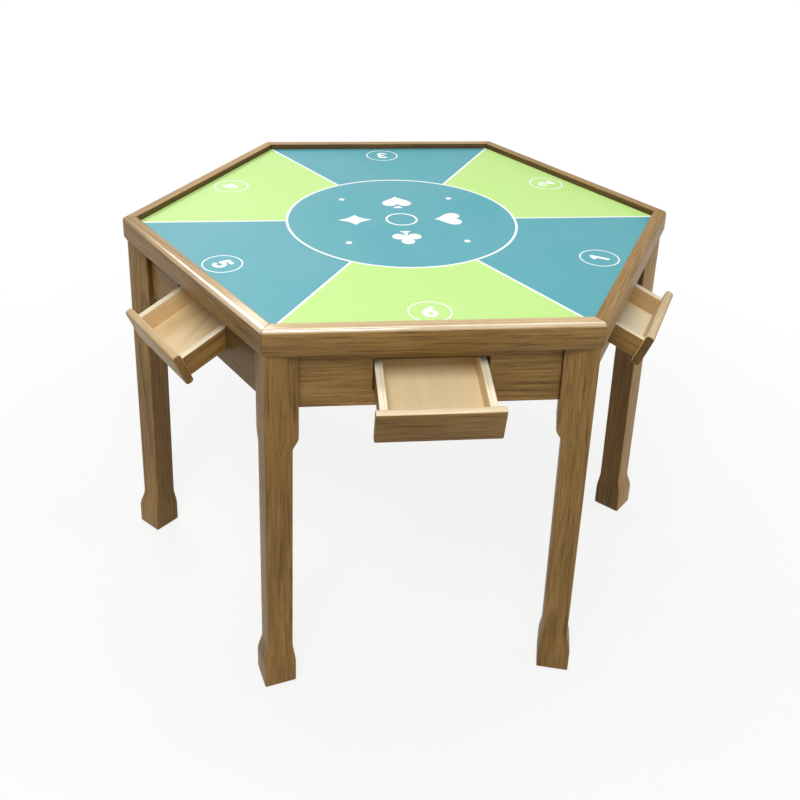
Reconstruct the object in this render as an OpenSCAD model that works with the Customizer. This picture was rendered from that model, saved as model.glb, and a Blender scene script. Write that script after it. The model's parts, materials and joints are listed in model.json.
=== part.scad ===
// Six-sided card table with a recessed playing surface and one drawer on each side.
// Units are millimetres. The origin is on the floor under the centre of the top, +Z up.
// Seat 1 faces 30 degrees to the right of -Y, and seats count anticlockwise from above.
// Leg 1 stands on +X, and leg N stands between seats N and N + 1.

/* [Top] */
// Height of the rim above the floor
table_h = 760; // [700:1:800]
// Distance from the centre to a corner of the rim
rim_r = 575; // [560:1:640]
// Width of a rim rail on top
rail_w = 25; // [22:0.5:30]
// Depth of a rim rail
rail_h = 52; // [44:1:60]
// Radius on the rail's upper outer edge
rail_round = 8; // [4:0.5:10]
// Width of the bevel under the rail's outer face
bevel_w = 5.5; // [3:0.5:8]
// Height of the bevel under the rail's outer face
bevel_h = 10; // [6:0.5:14]
// Drop from the rim to the playing mat
mat_drop = 13; // [9:0.5:16]
// Thickness of the playing mat
mat_t = 3; // [2:0.5:4]
// Thickness of the board under the mat
board_t = 15; // [12:1:18]

/* [Legs] */
// Side of the square block at the top of a leg
block_side = 61; // [56:1:66]
// Length of the block below the aprons
block_down = 56; // [30:1:90]
// Height of the slope between block and shaft
slope_h = 25; // [16:1:30]
// Side of the shaft under the slope
shaft_top = 50; // [46:1:54]
// Side of the shaft above the foot
shaft_low = 48; // [44:1:52]
// Height above the floor where the foot starts to flare
flare_z = 82; // [70:1:95]
// Height above the floor where the flare ends
foot_z = 52; // [40:1:60]
// Flare of the foot on the two outer faces
flare_out = 8; // [4:0.5:10]
// Flare of the foot on the two inner faces
flare_in = 4; // [2:0.5:7]
// Bevel around the foot's underside
foot_bevel = 4; // [2:0.5:6]
// Width of the flat on the leg's inner corner, where the corner block bears
leg_flat = 22; // [16:1:28]

/* [Frame] */
// Distance of an apron's outer face behind the rim's outer face
apron_set = 32; // [28:0.5:36]
// Thickness of an apron
apron_t = 20; // [18:0.5:22]
// Height of an apron
apron_h = 135; // [132:1:142]
// Thickness of a corner block
corner_t = 30; // [24:1:34]
// Height of a corner block
corner_h = 105; // [95:1:110]
// Gap from a corner block up to the board
corner_gap = 10; // [6:1:14]
// Width of a metal bracket under the board
bracket_w = 24; // [18:1:30]
// Length of each arm of a bracket
bracket_arm = 22; // [18:1:26]
// Thickness of the bracket's sheet
bracket_t = 2; // [1.5:0.5:3]
// Distance of a bracket from the middle of its apron, above the drawer
bracket_side = 60; // [40:1:80]

/* [Hardware] */
// Radius of a leg bolt
bolt_r = 4; // [3:0.5:5]
// Length of a leg bolt
bolt_len = 92; // [80:1:100]
// Height between the two bolts of a leg
bolt_gap = 50; // [40:1:60]
// Radius of a washer
washer_r = 11; // [9:0.5:13]
// Thickness of a washer
washer_t = 2; // [1.5:0.5:3]
// Distance between opposite corners of a nut
nut_across = 15; // [14:0.5:18]
// Height of a nut
nut_h = 6.5; // [5:0.5:8]
// Radius of a bracket screw's shank
screw_r = 2; // [1.5:0.25:2.5]
// Length of a bracket screw
screw_len = 12; // [10:0.5:13]
// Radius of a bracket screw's head
head_r = 4; // [3.5:0.25:5]
// Height of a bracket screw's head
head_h = 2; // [1.5:0.25:3]
// Radius of a foot glide
glide_r = 12; // [9:0.5:15]
// Height of a foot glide
glide_h = 3; // [2:0.5:4]
// Radius of a foot glide's pin
pin_r = 1.5; // [1:0.25:2]
// Length of a foot glide's pin
pin_len = 14; // [10:1:18]

/* [Mitres] */
// Thickness of the loose tongue in a mitre
tongue_t = 4; // [3:0.5:5]
// Width of a tongue across the mitre
tongue_w = 18; // [14:1:20]
// Length of a tongue along the mitre
tongue_len = 13; // [9:0.5:14]
// Height of a tongue above the rail's lower edge
tongue_up = 22; // [20:0.5:26]

/* [Drawers] */
// Outer width of a drawer's box
box_w = 196; // [180:1:210]
// Height of a drawer's box
box_h = 42; // [36:0.5:44]
// Length of a drawer's box behind its front
box_len = 190; // [170:1:200]
// Thickness of a drawer's side
side_t = 14; // [10:0.5:16]
// Thickness of a drawer's back
back_t = 12; // [10:0.5:16]
// Thickness of a drawer's bottom
bottom_t = 4; // [3:0.5:6]
// Depth that the bottom is let into each side
bottom_let = 7; // [5:0.5:9]
// Thickness of a drawer's front
front_t = 16; // [14:0.5:20]
// Overlap of the front past the box at each end
front_lap = 9; // [6:0.5:12]
// Height of the front above the box
front_up = 17; // [14.5:0.5:19]
// Reach of the front's finger lip below the box
lip_down = 8; // [5:0.5:12]
// Rounding of the front's edges
front_round = 6; // [3:0.5:7]
// Distance the drawers of seats 1 and 4 are pulled out
out_a = 57; // [45:1:60]
// Distance the drawers of seats 2 and 5 are pulled out
out_b = 76; // [65:1:80]
// Distance the drawers of seats 3 and 6 are pulled out
out_c = 97; // [85:1:100]
// Sag of the drawers of seats 1 and 4 in degrees
tip_angle_a = 21; // [12:0.5:22]
// Sag of the drawers of seats 2 and 5 in degrees
tip_angle_b = 23; // [12:0.5:23]
// Sag of the drawers of seats 3 and 6 in degrees
tip_angle_c = 15; // [8:0.5:23]

/* [Drawer openings] */
// Height of an opening's sill above the apron's lower edge
sill_up = 30.5; // [28:0.5:34]
// Free width in an apron beside the drawer's box
opening_side = 1; // [0.5:0.25:3]
// Free height in an apron above the drawer's box
opening_up = 13; // [12:0.5:14]
// Height of the rocking strip above the sill
strip_up = 3.5; // [3.4:0.1:3.8]
// Radius of the rocking strip
strip_r = 4.2; // [4:0.1:4.4]
// Distance of the rocking strip's axis behind the apron's outer face
strip_in = 7; // [6.5:0.1:7.5]
// Length of the rocking strip
strip_len = 190; // [170:1:200]

/* [Drawer runners] */
// Thickness of a runner's upright web
web_t = 12; // [10:0.5:14]
// Reach of a runner's ledge under the drawer
ledge_w = 10; // [8:0.5:14]
// Thickness of a runner's ledge
ledge_t = 12; // [10:0.5:14]
// Length of a runner
runner_len = 178; // [160:1:185]

/* [Clearances] */
// Gap around bolts, screws and pins in their holes
hole_gap = 0.15; // [0.1:0.05:0.3]
// Gap around a tongue in its slot
slot_gap = 0.2; // [0.1:0.05:0.4]
// Gap between the mat and the rails
mat_gap = 0.5; // [0.3:0.1:1]
// Gap between a drawer's box and its runners
runner_gap = 0.5; // [0.4:0.1:0.8]
// Gap between a closed drawer's front and its apron
front_gap = 0.5; // [0.3:0.1:1]
// Gap between the rocking strip and its groove
groove_gap = 0.3; // [0.2:0.05:0.4]
// Gap between the rocking strip's flat and the drawer
strip_gap = 0.2; // [0.1:0.05:0.3]
// Gap around the drawer's bottom panel
bottom_gap = 0.2; // [0.1:0.05:0.4]

/* [Hidden] */
SEATS = [1:6];
SIDES = [-1, 1];
$fn = 48;

// Half of a seat's 60 degree wedge: its cosine turns a corner radius into an apothem
COS_HALF = cos(30);
SIN_HALF = sin(30);
ROOT_2 = sqrt(2);
// Reach of a cutting shape past the face that it opens
CUT = 1;
OAK = "#8a7350";
OAK_DARK = "#6f5a3a";
MAPLE = "#ead2a0";
STEEL = "#9a9c9e";
MAT = "#76b9c6";
NYLON = "#d8d4c8";

// Levels and places that follow from the sizes above
rim_apothem = rim_r * COS_HALF;
rail_in = rim_apothem - rail_w;
rail_z = table_h - rail_h;
mat_z = table_h - mat_drop;
board_z = mat_z - mat_t - board_t;
leg_corner_r = rim_r - bevel_w / COS_HALF;
block_inner_r = leg_corner_r - block_side * ROOT_2;
leg_flat_r = block_inner_r + leg_flat / 2;
apron_r = rim_apothem - apron_set;
apron_in = apron_r - apron_t;
apron_z = board_z - apron_h;
block_z = apron_z - block_down;
corner_z = board_z - corner_gap - corner_h;
corner_in_r = leg_flat_r - corner_t;
bolt_z = corner_z + (corner_h - bolt_gap) / 2;
bolt_start_r = corner_in_r - washer_t - nut_h - bolt_r;
sill_z = apron_z + sill_up;
box_z = sill_z + strip_up;
strip_axis_r = apron_r - strip_in;
groove_r = strip_r + groove_gap;
opening_w = box_w + 2 * opening_side;
opening_h = strip_up + box_h + opening_up;
front_back_r = apron_r + front_gap;
front_w = box_w + 2 * front_lap;
front_z = box_z - lip_down;
front_h = box_h + front_up + lip_down;
box_back_r = front_back_r - box_len;
web_in = box_w / 2 + runner_gap + opening_side;
ledge_z = box_z - runner_gap - ledge_t;
tongue_out_r = rim_r - rail_w / COS_HALF / 2 + tongue_len / 2;
glide_at_r = leg_corner_r + (flare_out - shaft_low - flare_in) / 2 * ROOT_2;
seat_out = [out_a, out_b, out_c, out_a, out_b, out_c];
seat_tip_angle = [tip_angle_a, tip_angle_b, tip_angle_c, tip_angle_a, tip_angle_b, tip_angle_c];

// Places children at a seat, with +X pointing out of that side of the table
module at_seat(n) {
    rotate([0, 0, 60 * n - 90])
        children();
}

// Places children at a leg, with +X pointing out of that corner of the table
module at_leg(n) {
    rotate([0, 0, 60 * (n - 1)])
        children();
}

// Places children that ride on a drawer from its closed place to where it hangs
module as_pulled_out(n, slid = true) {
    at_seat(n)
        translate([strip_axis_r, 0, sill_z])
            rotate([0, seat_tip_angle[n - 1], 0])
                translate([slid ? seat_out[n - 1] : 0, 0, 0])
                    translate([-strip_axis_r, 0, -sill_z])
                        children();
}

// A block from one corner point to the opposite one
module block(low, high) {
    translate(low)
        cube(high - low);
}

// A prism with a six-sided plan
module six_sided(apothem, low_z, high_z) {
    translate([0, 0, low_z])
        linear_extrude(high_z - low_z)
            circle(r = apothem / COS_HALF, $fn = 6);
}

// A rectangle from [0, 0] with rounded corners of true arcs
module rounded_plate(w, h, r) {
    translate([r, 0])
        square([w - 2 * r, h]);
    translate([0, r])
        square([w, h - 2 * r]);
    for (x = [r, w - r], y = [r, h - r])
        translate([x, y])
            circle(r = r);
}

// Outline across a rim rail: X is the distance from the table's centre, Y is the height
module rail_outline() {
    difference() {
        translate([rail_in, rail_z])
            square([rail_w, rail_h]);
        translate([rim_apothem - rail_round, table_h - rail_round])
            square(2 * rail_round);
        polygon([
            [rim_apothem - bevel_w, rail_z],
            [rim_apothem, rail_z + bevel_h],
            [rim_apothem + CUT, rail_z + bevel_h],
            [rim_apothem + CUT, rail_z - CUT],
            [rim_apothem - bevel_w, rail_z - CUT]
        ]);
    }
    translate([rim_apothem - rail_round, table_h - rail_round])
        circle(r = rail_round);
}

// One sixth of the plan: the wedge between two neighbouring corners
module seat_wedge(low_z, high_z) {
    far_x = 2 * rim_r * COS_HALF;
    far_y = 2 * rim_r * SIN_HALF;
    translate([0, 0, low_z])
        linear_extrude(high_z - low_z)
            polygon([[0, 0], [far_x, -far_y], [far_x, far_y]]);
}

// The tongue across a mitre, or its slot when gap is more than 0
module tongue(gap = 0) {
    low = [tongue_out_r - tongue_len - gap, -tongue_w / 2 - gap, rail_z + tongue_up - gap];
    block(low, low + [tongue_len + 2 * gap, tongue_w + 2 * gap, tongue_t + 2 * gap]);
}

module rim_rail(n) {
    color(OAK)
        difference() {
            at_seat(n)
                intersection() {
                    rotate([90, 0, 0])
                        translate([0, 0, -rim_r / 2])
                            linear_extrude(rim_r)
                                rail_outline();
                    seat_wedge(rail_z - CUT, table_h + CUT);
                }
            for (leg = [n - 1, n])
                at_leg(leg)
                    tongue(slot_gap);
        }
}

module mitre_tongues() {
    color(MAPLE)
        for (n = SEATS)
            at_leg(n)
                tongue();
}

module top_board() {
    color(MAPLE)
        difference() {
            six_sided(rail_in, board_z, board_z + board_t);
            bracket_screws_up(screw_r + hole_gap, hole_gap);
        }
}

module playing_mat() {
    color(MAT)
        six_sided(rail_in - mat_gap, mat_z - mat_t, mat_z);
}

// Points on the hollow curve of a foot, from the shaft down to the foot's block
function flare_curve(from_x, to_x) = [
    for (a = [0:10:60])
        [from_x + (to_x - from_x) * (1 - cos(a)) / (1 - cos(60)),
         flare_z - (flare_z - foot_z) * sin(a) / sin(60)]
];

function reversed(list) = [for (i = [len(list) - 1:-1:0]) list[i]];

// Side view of a leg: X is 0 on its straight outer face and runs negative to the inner face
module leg_outline() {
    foot_out = flare_out;
    foot_in = -shaft_low - flare_in;
    polygon(concat(
        [[0, board_z]],
        flare_curve(0, foot_out),
        [[foot_out, glide_h + foot_bevel], [foot_out - foot_bevel, glide_h]],
        [[foot_in + foot_bevel, glide_h], [foot_in, glide_h + foot_bevel]],
        reversed(flare_curve(-shaft_low, foot_in)),
        [[-shaft_top, block_z - slope_h], [-block_side, block_z], [-block_side, board_z]]
    ));
}

// A square leg: the same side view is cut from both directions
module leg_shape() {
    reach = block_side + flare_out + 2 * CUT;
    translate([leg_corner_r, 0, 0])
        rotate([0, 0, -45])
            intersection() {
                rotate([90, 0, 0])
                    translate([0, 0, -flare_out - CUT])
                        linear_extrude(reach)
                            leg_outline();
                rotate([90, 0, -90])
                    translate([0, 0, -flare_out - CUT])
                        linear_extrude(reach)
                            mirror([1, 0])
                                leg_outline();
            }
}

module leg(n) {
    color(OAK)
        at_leg(n)
            difference() {
                leg_shape();
                difference() {
                    block([rail_in, -block_side, rail_z], [rim_r, block_side, table_h]);
                    six_sided(rail_in, rail_z - CUT, table_h + CUT);
                }
                block([0, -block_side, corner_z], [leg_flat_r, block_side, board_z + CUT]);
                bolt_places()
                    bolt(bolt_r + hole_gap, hole_gap);
                glide_pin(pin_r + hole_gap, hole_gap);
            }
}

module apron(n) {
    half_len = rim_r / 2;
    color(OAK)
        difference() {
            at_seat(n)
                block([apron_in, -half_len, apron_z], [apron_r, half_len, board_z]);
            at_seat(n)
                block([apron_in - CUT, -opening_w / 2, sill_z],
                      [apron_r + CUT, opening_w / 2, sill_z + opening_h]);
            at_seat(n)
                translate([strip_axis_r, 0, sill_z])
                    rotate([90, 0, 0])
                        cylinder(h = strip_len + 2 * groove_gap, r = groove_r, center = true);
            for (at = [n - 1, n])
                at_leg(at)
                    leg_clearance();
            at_seat(n)
                bracket_screws_in(screw_r + hole_gap, hole_gap);
        }
}

// Everything on the far side of the face that an apron butts against
module leg_clearance() {
    reach = rim_r / 2;
    translate([leg_corner_r, 0, apron_z - CUT])
        rotate([0, 0, -45])
            block([-block_side, -block_side, 0], [reach, reach, board_z - apron_z + 2 * CUT]);
}

// A brace across the corner behind each leg
module corner_block() {
    stock = rim_r / 4;
    difference() {
        block([corner_in_r, -stock, corner_z], [leg_flat_r, stock, corner_z + corner_h]);
        for (side = SIDES)
            rotate([0, 0, side * 30])
                block([apron_in, -rim_r, corner_z - CUT], [rim_r, rim_r, corner_z + corner_h + CUT]);
        bolt_places()
            bolt(bolt_r + hole_gap, hole_gap);
    }
}

module corner_blocks() {
    color(MAPLE)
        for (n = SEATS)
            at_leg(n)
                corner_block();
}

// The two bolt axes of a leg, with +Z pointing out of the table
module bolt_places() {
    for (z = [bolt_z, bolt_z + bolt_gap])
        translate([bolt_start_r, 0, z])
            rotate([0, 90, 0])
                children();
}

module bolt(r, gap = 0) {
    translate([0, 0, -gap])
        cylinder(h = bolt_len + 2 * gap, r = r);
}

module leg_bolts() {
    color(STEEL)
        for (n = SEATS)
            at_leg(n)
                bolt_places()
                    bolt(bolt_r);
}

module leg_washers() {
    color(STEEL)
        for (n = SEATS)
            at_leg(n)
                bolt_places()
                    translate([0, 0, bolt_r + nut_h])
                        difference() {
                            cylinder(h = washer_t, r = washer_r);
                            translate([0, 0, -CUT])
                                cylinder(h = washer_t + 2 * CUT, r = bolt_r + hole_gap);
                        }
}

module leg_nuts() {
    color(STEEL)
        for (n = SEATS)
            at_leg(n)
                bolt_places()
                    translate([0, 0, bolt_r])
                        difference() {
                            cylinder(h = nut_h, r = nut_across / 2, $fn = 6);
                            translate([0, 0, -CUT])
                                cylinder(h = nut_h + 2 * CUT, r = bolt_r + hole_gap);
                        }
}

// Runs its children at both brackets of a seat, at the corner between apron and board
module bracket_places() {
    for (side = SIDES)
        translate([apron_in, side * bracket_side, board_z])
            children();
}

module top_brackets() {
    color(STEEL)
        for (n = SEATS)
            at_seat(n)
                bracket_places()
                    difference() {
                        union() {
                            block([-bracket_t, -bracket_w / 2, -bracket_arm], [0, bracket_w / 2, 0]);
                            block([-bracket_arm, -bracket_w / 2, -bracket_t], [0, bracket_w / 2, 0]);
                        }
                        screw_into_board()
                            screw_shank(screw_r + hole_gap, hole_gap);
                        screw_into_apron()
                            screw_shank(screw_r + hole_gap, hole_gap);
                    }
}

// A screw's place in a bracket, with +Z along the way the screw is driven
module screw_into_board() {
    translate([-(bracket_arm + bracket_t) / 2, 0, -bracket_t])
        children();
}

module screw_into_apron() {
    translate([-bracket_t, 0, -(bracket_arm + bracket_t) / 2])
        rotate([0, 90, 0])
            children();
}

module screw_shank(r, gap = 0) {
    translate([0, 0, -gap])
        cylinder(h = screw_len + 2 * gap, r = r);
}

module bracket_screws_up(r, gap) {
    for (n = SEATS)
        at_seat(n)
            bracket_places()
                screw_into_board()
                    screw_shank(r, gap);
}

module bracket_screws_in(r, gap) {
    bracket_places()
        screw_into_apron()
            screw_shank(r, gap);
}

module screw() {
    screw_shank(screw_r);
    translate([0, 0, -head_h])
        cylinder(h = head_h, r = head_r);
}

module bracket_screws() {
    color(STEEL)
        for (n = SEATS)
            at_seat(n)
                bracket_places() {
                    screw_into_board()
                        screw();
                    screw_into_apron()
                        screw();
                }
}

// The pin that holds a glide in the middle of a foot's underside, or its hole
module glide_pin(r, gap = 0) {
    translate([glide_at_r, 0, glide_h - gap])
        cylinder(h = pin_len + 2 * gap, r = r);
}

module foot_glides() {
    color(NYLON)
        for (n = SEATS)
            at_leg(n) {
                translate([glide_at_r, 0, 0])
                    cylinder(h = glide_h, r = glide_r);
                glide_pin(pin_r);
            }
}

// An upright web hung from the board beside the drawer, with a ledge under the drawer
module runner() {
    back_r = apron_in - runner_len;
    block([back_r, web_in, ledge_z], [apron_in, web_in + web_t, board_z]);
    block([back_r, web_in - ledge_w, ledge_z], [apron_in, web_in + web_t, ledge_z + ledge_t]);
}

module drawer_runners() {
    color(MAPLE)
        for (n = SEATS)
            at_seat(n)
                for (side = [0, 1])
                    mirror([0, side, 0])
                        runner();
}

module drawer_front(n) {
    color(OAK_DARK)
        as_pulled_out(n)
            translate([front_back_r, 0, front_z])
                rotate([90, 0, 0])
                    translate([0, 0, -front_w / 2])
                        linear_extrude(front_w)
                            rounded_plate(front_t, front_h, front_round);
}

module drawer_sides(n) {
    inner = box_w / 2 - side_t;
    color(MAPLE)
        as_pulled_out(n)
            for (side = [0, 1])
                mirror([0, side, 0])
                    difference() {
                        block([box_back_r, inner, box_z], [front_back_r, box_w / 2, box_z + box_h]);
                        block([box_back_r - CUT, inner - CUT, box_z - CUT],
                              [front_back_r + CUT, inner + bottom_let, box_z + bottom_t]);
                    }
}

module drawer_back(n) {
    inner = box_w / 2 - side_t;
    color(MAPLE)
        as_pulled_out(n)
            block([box_back_r, -inner, box_z + bottom_t], [box_back_r + back_t, inner, box_z + box_h]);
}

module drawer_bottom(n) {
    half = box_w / 2 - side_t + bottom_let - bottom_gap;
    color(MAPLE)
        as_pulled_out(n)
            block([box_back_r, -half, box_z], [front_back_r, half, box_z + bottom_t]);
}

// A round strip with a flat on top, free to rock in the groove of the sill
module rocking_strip(n) {
    flat_up = strip_up - strip_gap;
    color(NYLON)
        as_pulled_out(n, slid = false)
            translate([strip_axis_r, 0, sill_z])
                difference() {
                    rotate([90, 0, 0])
                        cylinder(h = strip_len, r = strip_r, center = true);
                    block([-strip_r - CUT, -strip_len, flat_up], [strip_r + CUT, strip_len, strip_r + CUT]);
                }
}

top_board();
playing_mat();
corner_blocks();
drawer_runners();
mitre_tongues();
foot_glides();
leg_bolts();
leg_washers();
leg_nuts();
top_brackets();
bracket_screws();
for (n = SEATS) {
    rim_rail(n);
    leg(n);
    apron(n);
    drawer_front(n);
    drawer_sides(n);
    drawer_back(n);
    drawer_bottom(n);
    rocking_strip(n);
}
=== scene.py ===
"""Builds the looks of a six-sided card table around its packed solids: wood, printed mat and studio."""

import json
import math
import random
from functools import cache, partialmethod

import bmesh
import bpy
from bpy.props import FloatProperty, FloatVectorProperty, PointerProperty
from bpy.types import Operator, Panel, PropertyGroup
from mathutils import Matrix, Vector


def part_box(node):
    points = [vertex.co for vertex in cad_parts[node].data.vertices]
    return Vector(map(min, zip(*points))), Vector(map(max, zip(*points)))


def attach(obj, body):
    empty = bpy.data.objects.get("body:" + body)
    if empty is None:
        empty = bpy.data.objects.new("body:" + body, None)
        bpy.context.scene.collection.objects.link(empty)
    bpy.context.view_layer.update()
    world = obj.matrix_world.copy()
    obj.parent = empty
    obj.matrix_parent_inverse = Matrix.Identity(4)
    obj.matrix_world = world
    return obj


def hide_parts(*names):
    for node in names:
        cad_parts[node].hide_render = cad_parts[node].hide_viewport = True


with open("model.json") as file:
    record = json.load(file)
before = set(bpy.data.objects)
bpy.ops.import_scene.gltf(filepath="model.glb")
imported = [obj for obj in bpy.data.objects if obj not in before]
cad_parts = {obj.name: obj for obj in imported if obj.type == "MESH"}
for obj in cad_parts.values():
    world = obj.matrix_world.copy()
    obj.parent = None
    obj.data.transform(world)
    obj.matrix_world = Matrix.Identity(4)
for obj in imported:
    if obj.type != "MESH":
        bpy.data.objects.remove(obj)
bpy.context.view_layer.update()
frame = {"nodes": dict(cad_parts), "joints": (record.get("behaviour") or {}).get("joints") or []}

bl_info = {
    "name": "Six-sided card table",
    "version": (1, 0, 0),
    "blender": (4, 5, 0),
    "location": "View3D > Sidebar > Card table",
    "description": "Dresses a six-sided card table with wood, a printed mat and a studio",
    "category": "Add Mesh",
}

SEATS = range(1, 7)
SEAT_STEP = math.radians(60)
COS_HALF = math.cos(SEAT_STEP / 2)
SIN_HALF = math.sin(SEAT_STEP / 2)
MITRE_SLOPE = SIN_HALF / COS_HALF

# The body that most pieces ride on, and the vectors that a wooden mesh carries at its points
TABLE = "table"
GRAIN = "grain"
TRAITS = "traits"

# Places read from the packed solids: seat 6 faces -Y and leg 1 stands on +X
RAIL_LOW, RAIL_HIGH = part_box("rim_rail_6")
BOARD_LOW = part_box("top_board")[0]
MAT_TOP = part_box("playing_mat")[1].z
GLIDE_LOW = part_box("foot_glides")[0]
BLOCK_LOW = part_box("corner_blocks")[0]
APRON_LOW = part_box("apron_6")[0]
RIM_APOTHEM = -RAIL_LOW.y
RAIL_IN = -RAIL_HIGH.y
RIM_RADIUS = RIM_APOTHEM / COS_HALF
JOINTS = {joint["name"]: joint for joint in frame["joints"]}
SILL = JOINTS["strip_6_rock"]["pos_m"][2]

# Width of the picture in pixels
PICTURE = 800


def size(name, description, default):
    """A length that a user would change."""
    return FloatProperty(name=name, description=description, default=default, unit="LENGTH", precision=4)


def level(name, description, default):
    """A plain number that a user would change."""
    return FloatProperty(name=name, description=description, default=default)


def degrees(name, description, default):
    """An angle that a user would change, given in degrees."""
    return FloatProperty(name=name, description=description, default=math.radians(default), subtype="ANGLE")


def colour(name, description, red, green, blue):
    """A colour that a user would change, given as the eight-bit values that a screen shows."""
    return FloatVectorProperty(name=name, description=description, subtype="COLOR", min=0, max=1,
                               default=tuple(linear(v / 255) for v in (red, green, blue)))


def linear(value):
    """The light level of a screen value."""
    return value / 12.92 if value <= 0.04045 else ((value + 0.055) / 1.055) ** 2.4


class RimSizes(PropertyGroup):
    """Sizes of the rim's rails."""
    round_over: size("Round-over", "Radius on the rail's upper outer edge", 0.008)
    bevel_width: size("Bevel width", "Width of the bevel under the outer face", 0.0055)
    bevel_height: size("Bevel height", "Height of the bevel under the outer face", 0.010)
    inner_ease: size("Inner ease", "Radius on the rail's upper inner edge", 0.0015)
    mitre_ease: size("Mitre ease", "Depth of the fine groove where two rails meet", 0.0006)
    corner_round: size("Corner round", "Radius on the rim's outer corners, seen from above", 0.0045)


class LegSizes(PropertyGroup):
    """Sizes of a leg."""
    block_side: size("Block", "Side of the square block at the top", 0.061)
    block_end: size("Block end", "Height where the block ends", 0.538)
    slope_height: size("Slope", "Height of the curve between block and shaft", 0.025)
    shaft_top: size("Shaft top", "Side of the shaft under the block", 0.050)
    shaft_low: size("Shaft foot", "Side of the shaft above the foot", 0.048)
    flare_start: size("Flare start", "Height where the foot starts to flare", 0.089)
    flare_end: size("Flare end", "Height where the flare ends", 0.047)
    flare_out: size("Outer flare", "Flare of the foot on its outer faces", 0.008)
    flare_in: size("Inner flare", "Flare of the foot on its inner faces", 0.004)
    glide: size("Glide", "Thickness of the glide under the foot", 0.003)
    foot_bevel: size("Foot bevel", "Bevel around the foot's underside", 0.004)
    edge_round: size("Edge round", "Radius on the leg's long edges", 0.003)
    inner_flat: size("Inner flat", "Width of the flat where the corner block bears", 0.022)
    setback: size("Setback", "Distance of the leg's corner behind the rim's faces", 0.0055)


class ApronSizes(PropertyGroup):
    """Sizes of an apron's opening."""
    opening_width: size("Opening width", "Width of the opening for a drawer", 0.198)
    opening_height: size("Opening height", "Height of the opening for a drawer", 0.0585)
    opening_sill: size("Sill", "Height of the opening's sill", SILL)
    # The width of the painted shade round an apron's opening and along the legs
    painted_shade: size("Gathered lacquer", "Width of the dark line where lacquer gathers in a corner", 0.003)
    edge_ease: size("Edge ease", "Rounding of the sawn edges", 0.0008)


class DrawerSizes(PropertyGroup):
    """Sizes of a drawer."""
    box_width: size("Width", "Outer width of the box", 0.196)
    box_height: size("Height", "Height of the box", 0.042)
    box_length: size("Length", "Length of the box behind its front", 0.190)
    box_lift: size("Lift", "Height of the box above the sill", 0.0035)
    side: size("Side", "Thickness of a side", 0.014)
    back: size("Back", "Thickness of the back", 0.012)
    bottom: size("Bottom", "Thickness of the bottom", 0.004)
    bottom_let: size("Let in", "Depth that the bottom is let into each side", 0.007)
    bottom_gap: size("Bottom gap", "Gap around the bottom", 0.0002)
    front: size("Front", "Thickness of the front", 0.016)
    front_lap: size("Lap", "Overlap of the front past the box at each end", 0.009)
    front_up: size("Rise", "Height of the front above the box", 0.017)
    lip_down: size("Lip", "Reach of the finger lip below the box", 0.008)
    front_round: size("Bull nose", "Rounding of the front's long edges", 0.006)
    front_gap: size("Front gap", "Gap between a closed front and its apron", 0.0005)
    end_ease: size("End ease", "Rounding of the front's ends", 0.0022)
    edge_ease: size("Edge ease", "Rounding of the box's edges", 0.0012)


class MatSizes(PropertyGroup):
    """Sizes of the print on the playing mat."""
    ring_radius: size("Ring", "Radius of the ring round the centre disc", 0.240)
    line: size("Line", "Width of the ring and of the lines between sectors", 0.0052)
    badge_place: size("Badge place", "Distance of a number's circle from the centre", 0.419)
    badge_radius: size("Badge", "Radius of a number's circle", 0.0375)
    badge_line: size("Badge line", "Width of a number's circle", 0.0028)
    digit_height: size("Digit", "Height of a number", 0.040)
    digit_weight: size("Weight", "Width of a number's strokes", 0.0086)
    ink: size("Ink", "Thickness of the printed ink", 0.0001)
    suit_place: size("Suit place", "Distance of a suit from the centre", 0.098)
    suit_width: size("Suit", "Width of a suit", 0.068)
    hub_radius: size("Hub", "Radius of the small circle in the centre", 0.034)
    dot_radius: size("Dot", "Radius of a dot between two suits", 0.0065)
    dot_place: size("Dot place", "Distance of a dot from the centre", 0.168)


class WoodColours(PropertyGroup):
    """Colours of the wood."""
    oak_dark: colour("Oak dark", "Late wood and pores of the outer wood", 60, 40, 18)
    oak_mid: colour("Oak", "Plain tone of the outer wood", 135, 103, 54)
    oak_light: colour("Oak light", "Early wood of the outer wood", 167, 133, 79)
    # Where the outer wood is paled, by wear and by painted light and highlights, it turns golden and then pale
    golden_dark: colour("Golden dark", "Late wood where the outer wood is lightly worn", 160, 125, 78)
    golden_light: colour("Golden light", "Early wood where the outer wood is lightly worn", 214, 182, 127)
    pale_dark: colour("Pale dark", "Late wood of the drawer boxes", 218, 182, 130)
    pale_mid: colour("Pale", "Plain tone of the drawer boxes", 247, 221, 170)
    pale_light: colour("Pale light", "Early wood of the drawer boxes", 252, 240, 208)


class PrintColours(PropertyGroup):
    """Colours of the print on the mat."""
    blue: colour("Blue", "Three sectors and the centre disc", 62, 161, 173)
    green: colour("Green", "Three sectors between the blue ones", 195, 237, 132)
    white: colour("White", "Lines, numbers and suits", 250, 252, 250)


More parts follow.
